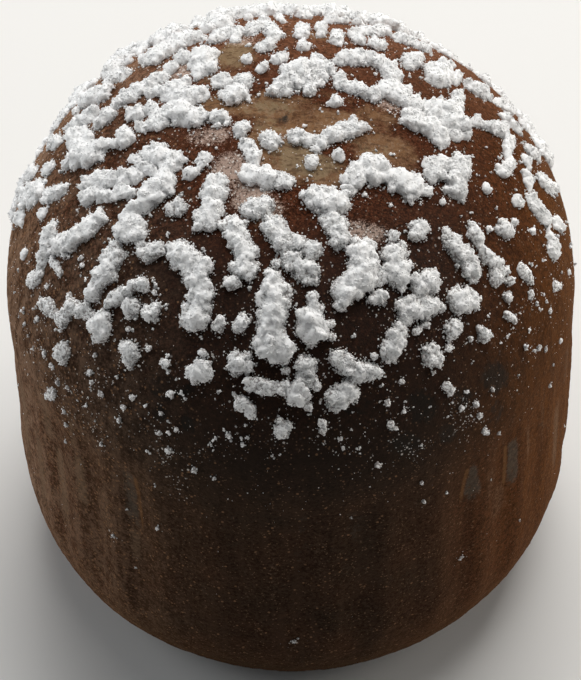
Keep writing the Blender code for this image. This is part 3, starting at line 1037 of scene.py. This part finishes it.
# pale upright lines where paper drew sugar down the wall: way round, from and to, half width, strength
streaks = [
    (-63.5, 23.5, 32.0, 0.6, 0.9), (-58.0, 19.5, 24.5, 0.45, 0.8), (-55.0, 22.5, 31.0, 0.5, 0.9),
    (-48.0, 19.3, 22.5, 0.3, 0.7), (-47.0, 21.5, 27.0, 0.5, 0.9), (-40.5, 22.5, 27.5, 0.6, 0.5),
    (-33.5, 24.8, 28.5, 0.5, 0.7), (-72.0, 21.0, 31.0, 0.9, 0.8), (42.8, 21.8, 25.5, 0.6, 0.4),
    (45.5, 23.6, 27.5, 0.9, 0.45), (54.6, 21.5, 24.6, 0.22, 0.6), (68.0, 22.5, 30.0, 0.6, 0.7),
    (60.5, 20.5, 26.0, 0.25, 0.4), (5.0, 21.0, 28.0, 0.5, 0.3), (-4.0, 22.0, 29.0, 0.45, 0.3),
    (-9.0, 23.0, 30.0, 0.4, 0.25), (26.0, 21.5, 22.6, 0.7, 0.4), (95.0, 20.0, 28.0, 0.6, 0.6),
    (150.0, 21.0, 28.0, 0.5, 0.6), (-100.0, 20.0, 29.0, 0.6, 0.8), (-128.0, 21.0, 28.0, 0.5, 0.7),
    (-165.0, 20.0, 27.0, 0.6, 0.6),
]


def streakStrength(azimuth, down):
    strength = np.zeros_like(down)
    for turn, start, end, half, most in streaks:
        middle = front + math.radians(turn)
        side = np.abs(np.angle(np.exp(1j * (azimuth - middle)))) * truffle["wallRadius"]
        share = np.clip((down - start) / (end - start), 0, 1)
        ends = smoothStep(share * 4) * smoothStep((1 - share) * 3)
        strength = np.maximum(strength, most * ends * smoothStep(1.2 - side / half))
    return strength


def stripStrength(azimuth, down):
    # how bare, and how much of the raised lip at its side
    bare, lip = np.zeros_like(down), np.zeros_like(down)
    for turn, start, end, half, most, top in strips:
        middle = front + math.radians(turn)
        side = np.angle(np.exp(1j * (azimuth - middle))) * truffle["wallRadius"]
        share = np.clip((down - start) / (end - start), 0, 1)
        wide = half * (top + (1 - top) * smoothStep(share * 1.3))
        ends = smoothStep(share * 7) * smoothStep((1 - share) * 2.2)
        bare = np.maximum(bare, most * ends * smoothStep((wide - np.abs(side)) / 0.4 + 0.5))
        lipSide = -wide - 0.1 if turn > 0 else wide + 0.1
        near = ends * smoothStep(1 - np.abs(side - lipSide) / 0.28)
        lip = np.maximum(lip, most * near)
    return bare, lip


def nearSugar():
    # 1 against a drift, dying away over the chocolate round it
    tree = KDTree(len(edgeGrains))
    for number, (spot, size) in enumerate(edgeGrains):
        tree.insert(spot, number)
    tree.balance()
    away = np.array([tree.find(spot)[2] for spot in places(chocolateBody)])
    return np.exp(-away / 0.3)


def markBody():
    x, y = bodyDown * np.cos(bodyAzimuth), bodyDown * np.sin(bodyAzimuth)
    bare, lip = stripStrength(bodyAzimuth, bodyDown)
    for name in patches:
        setAttribute(chocolateBody, name, patchStrength(name, x, y))
    setAttribute(chocolateBody, "worn", bare)
    setAttribute(chocolateBody, "lip", lip)
    setAttribute(chocolateBody, "drawn", streakStrength(bodyAzimuth, bodyDown))
    setAttribute(chocolateBody, "nearSugar", nearSugar())
    side = np.angle(np.exp(1j * (bodyAzimuth - front)))
    fromFront = np.abs(side)
    sideways = np.where(side > 0, smoothStep((side - 0.28) / 0.75), smoothStep((-side - 0.4) / 0.8))
    # the cocoa thins out lower down; the sideways term also keeps the front of the wall darker than its sides
    # as painted shade, the sides catching the side lamps
    thin = smoothStep((bodyDown - 12) / 7) * (1 - 0.8 * sideways)
    setAttribute(chocolateBody, "thin", thin)
    # painted shade: the front of the dome's shoulder and the top of the wall, turned away from the lamps, are
    # marked to be darkened
    shoulderShade = smoothStep((bodyDown - 4) / 6) * (1 - smoothStep((bodyDown - 17) / 7))
    setAttribute(chocolateBody, "shoulderShade", shoulderShade * (1 - 0.8 * smoothStep((fromFront - 0.6) / 0.9)))


markBody()
stage("patches marked")


def sugarFinish():
    powder = Finish("icingSugar", {
        "Specular IOR Level": 0.1,
        "Subsurface Weight": 1.0,
        "Subsurface Radius": (1.0, 1.0, 1.0),
        "Subsurface Scale": 0.25 * mm,
    })
    fine = powder.noise(0.05, detail=2.0, rough=0.7)
    cloud = powder.noise(0.6, shift=7.0)
    grains = powder.node("ShaderNodeTexVoronoi", sockets={"Vector": powder.place, "Scale": 1 / 0.11})
    colour = powder.mix(fine, (0.90, 0.90, 0.895, 1), (0.98, 0.98, 0.98, 1))
    colour = powder.mix(powder.step(cloud, 0.62, 0.8) * 0.2, colour, (0.74, 0.69, 0.65, 1))
    # where the drift is thin, cocoa shows in the gaps between the grains; kept to the front, the dark gaps
    # also paint the shade in the crevices there
    thin = powder.attribute("low")
    cocoaGapsAndShade = powder.step(grains + (fine - 0.5) * 0.6 + thin * 0.5, 0.72, 0.98) * powder.step(thin, 0.05, 0.4)
    colour = powder.mix(cocoaGapsAndShade * 0.65, colour, (0.075, 0.045, 0.03, 1))
    return powder.feed(
        Base_Color=colour,
        Roughness=0.88 + fine * 0.1,
        Normal=powder.bump(fine, 0.015, 0.5, powder.bump(1 - grains, 0.03, 0.5)),
    )


def chocolateFinish():
    skin = Finish("cocoaChocolate", {
        "Specular IOR Level": 0.03,
        "Coat Roughness": 0.45,
        "Coat IOR": 1.45,
        "Sheen Weight": 0.15,
        "Sheen Roughness": 0.5,
        "Sheen Tint": (0.95, 0.45, 0.18, 1),
    })
    fine = skin.noise(0.07, detail=3.0, rough=0.65)
    grain = skin.noise(0.2, detail=2.0, shift=3.0)
    blotch = skin.noise(0.7, detail=3.0, rough=0.6, shift=17.0)
    patch = skin.noise(2.6, detail=3.0, shift=11.0)
    wall = skin.attribute("thin")
    speckle = skin.noise(0.17, detail=3.0, rough=0.75, shift=41.0)
    # dusted cocoa
    dusted = skin.step(fine * 0.4 + speckle * 0.6, 0.42, 0.59)
    colour = skin.mix(dusted, (0.020, 0.0068, 0.0036, 1), (0.128, 0.0410, 0.0195, 1))
    colour = skin.mix(skin.step(grain, 0.4, 0.7) * 0.5, colour, (0.037, 0.0120, 0.0064, 1))
    colour = skin.mix(skin.step(patch, 0.4, 0.65) * 0.45, colour, (0.058, 0.0197, 0.0104, 1))
    # lower down the cocoa thins out over darker chocolate, streaked downwards; the front of the wall is also
    # kept darker than its sides, which is painted shade
    stretched = skin.node("ShaderNodeVectorMath", {"operation": "MULTIPLY"}, {0: skin.place, 1: (1, 1, 0.1)})
    streak = skin.node(
        "ShaderNodeTexNoise", sockets={"Vector": stretched, "Scale": 1 / 0.5, "Detail": 3.0, "Roughness": 0.6}
    )
    plain = skin.mix(skin.step(speckle, 0.40, 0.62), (0.0060, 0.0046, 0.0037, 1), (0.028, 0.0208, 0.0156, 1))
    plain = skin.mix(skin.step(streak, 0.45, 0.7) * 0.6, plain, (0.034, 0.0230, 0.0165, 1))
    colour = skin.mix((wall * 0.9 + (patch - 0.5) * 0.5 * wall).limited(), colour, plain)
    # painted shade on the front shoulder, in a grey that also paints the sheen there
    colour = skin.mix(skin.attribute("shoulderShade") * 0.72, colour, (0.0140, 0.0134, 0.0124, 1))
    # the cocoa is warmer to the right, paler at the back and greyer with sugar to the left
    sides = skin.tree.nodes.new("ShaderNodeSeparateXYZ")
    plug(skin.tree, sides.inputs[0], skin.place)
    across, back, up = [Wire(skin.tree, sides.outputs[axis]) for axis in "XYZ"]
    toLeft = skin.step(across * -1.0, 2.5, 12.0)
    toBack = skin.step(back, 0.0, 9.0) * skin.step(up, 13.0, 19.0)
    redder = skin.step(speckle * 0.6 + streak * 0.4, 0.42, 0.6)
    warm = skin.mix(redder, (0.040, 0.0125, 0.0020, 1), (0.122, 0.040, 0.0058, 1))
    colour = skin.mix(skin.step(across, 6.0, 14.0) * skin.step(up, -2.0, 11.0) * 0.62, colour, warm)
    colour = skin.mix(toBack * skin.step(speckle, 0.3, 0.6) * 0.62, colour, (0.27, 0.122, 0.070, 1))
    # painted shade: low on the right, where the wall curves under towards the foot, the colour is darkened
    footShade = skin.step(up, 8.0, 1.0) * skin.step(across, 3.0, 9.0)
    colour = skin.mix(footShade * 0.45, colour, (0.016, 0.0085, 0.0055, 1))
    colour = skin.mix(skin.step(speckle, 0.60, 0.44) * toLeft * 0.7, colour, (0.0145, 0.0088, 0.0060, 1))
    farLeft = toLeft * (toBack * 0.9 + 0.3) + skin.step(across * -1.0, 10.5, 14.0) * 0.4
    dusting = skin.step(speckle * 0.4 + blotch * 0.35 + streak * 0.25, 0.41, 0.61) * farLeft
    behind = skin.step(back, 0.0, 7.0) * skin.step(up, 21.0, 15.0)
    colour = skin.mix(dusting * (1 - behind * 0.75), colour, (0.37, 0.240, 0.163, 1))
    # pale lines drawn down the wall
    drawn = skin.step(skin.attribute("drawn") + (speckle - 0.5) * 1.4, 0.2, 1.1)
    colour = skin.mix(drawn * 0.8, colour, (0.165, 0.112, 0.074, 1))
    # rubbed crown, paler, part reddish and part olive
    mottle = skin.noise(0.45, detail=4.0, rough=0.65, shift=29.0)
    rubbed = skin.step(skin.attribute("rubbed") + (blotch - 0.5) * 1.3 + (fine - 0.5) * 0.5, 0.35, 0.95)
    olive = skin.step(mottle + (skin.attribute("olive") - 0.5) * 0.6, 0.42, 0.64)
    bloom = skin.mix(olive, (0.205, 0.108, 0.052, 1), (0.240, 0.170, 0.096, 1))
    bloom = skin.mix(skin.step(speckle, 0.48, 0.62) * 0.5, bloom, (0.29, 0.200, 0.130, 1))
    sweep = skin.node("ShaderNodeVectorMath", {"operation": "MULTIPLY"}, {0: skin.place, 1: (0.35, 1.2, 1)})
    sweeps = skin.node(
        "ShaderNodeTexNoise", sockets={"Vector": sweep, "Scale": 1 / 0.3, "Detail": 3.0, "Roughness": 0.65}
    )
    bloom = skin.mix(skin.step(sweeps * 0.6 + grain * 0.4, 0.5, 0.6) * 0.65, bloom, (0.070, 0.036, 0.018, 1))
    colour = skin.mix(rubbed * 0.9, colour, bloom)
    # bare chocolate, darker and bluish
    bare = skin.step(skin.attribute("bare") + (mottle - 0.5) * 2.2 + (fine - 0.5) * 0.6, 0.3, 0.9)
    colour = skin.mix(bare * 0.92, colour, (0.0085, 0.0098, 0.0094, 1))
    worn = skin.step(skin.attribute("worn") + (grain - 0.5) * 0.9 + (mottle - 0.5) * 1.4, 0.3, 1.0)
    rub = skin.mix(skin.step(speckle, 0.4, 0.6), (0.040, 0.033, 0.024, 1), (0.060, 0.051, 0.040, 1))
    colour = skin.mix(worn * 0.88, colour, rub)
    lip = skin.step(skin.attribute("lip") + (grain - 0.5) * 0.6, 0.4, 0.8)
    colour = skin.mix(lip * 0.75, colour, (0.140, 0.068, 0.028, 1))
    # films of icing sugar
    haze = skin.attribute("haze")
    film = skin.step(haze + (fine - 0.5) * 1.6 + (speckle - 0.5) * 1.8 + (blotch - 0.5) * 0.8, 0.45, 1.1)
    colour = skin.mix(film * 0.75, colour, (0.52, 0.395, 0.330, 1))
    # paler grains of cocoa everywhere, then grains of sugar too fine to be pieces of their own: their
    # size, how far the pattern is moved, how many show, and colour
    sugared = skin.attribute("nearSugar") * 0.12 + haze * 0.2 + skin.attribute("dusty") * 0.11 + 0.003
    for size, shift, here, tint in (
        (0.11, 9.0, 0.10 + wall * 0.04, (0.15, 0.090, 0.056, 1)),
        (0.18, 13.0, toLeft * 0.25 + wall * 0.06, (0.21, 0.115, 0.062, 1)),
        (0.1, 1.0, sugared, (0.66, 0.62, 0.58, 1)),
        (0.17, 5.0, sugared * 0.5, (0.66, 0.62, 0.58, 1)),
    ):
        moved = {0: skin.place, 1: (shift, shift, shift)}
        place = skin.node("ShaderNodeVectorMath", {"operation": "ADD"}, moved)
        cells = skin.node("ShaderNodeTexVoronoi", sockets={"Vector": place, "Scale": 1 / size})
        pick = skin.node("ShaderNodeTexWhiteNoise", {"noise_dimensions": "3D"}, {
            "Vector": Wire(skin.tree, cells.socket.node.outputs["Position"])
        })
        shown = skin.step(here - pick, 0.0, 0.04) * skin.step(cells, 0.42, 0.3)
        colour = skin.mix(shown * 0.85, colour, tint)
    smooth = (rubbed * 0.5 + bare * 0.6 + worn * 0.6).limited()
    return skin.feed(
        Base_Color=colour,
        Roughness=0.82 + fine * 0.15 - smooth * 0.25,
        Coat_Weight=(bare * 0.06 + worn * 0.1 + rubbed * 0.05).limited(),
        Normal=skin.bump(fine, 0.035, 0.8, skin.bump(grain, 0.06, 0.6)),
    )


sugarMaterial = sugarFinish()
for piece in driftPieces + loosePieces:
    finishPiece(piece, sugarMaterial, "icing_sugar")
finishPiece(chocolateBody, chocolateFinish(), "cocoa_chocolate", "truffle")

stage("done")
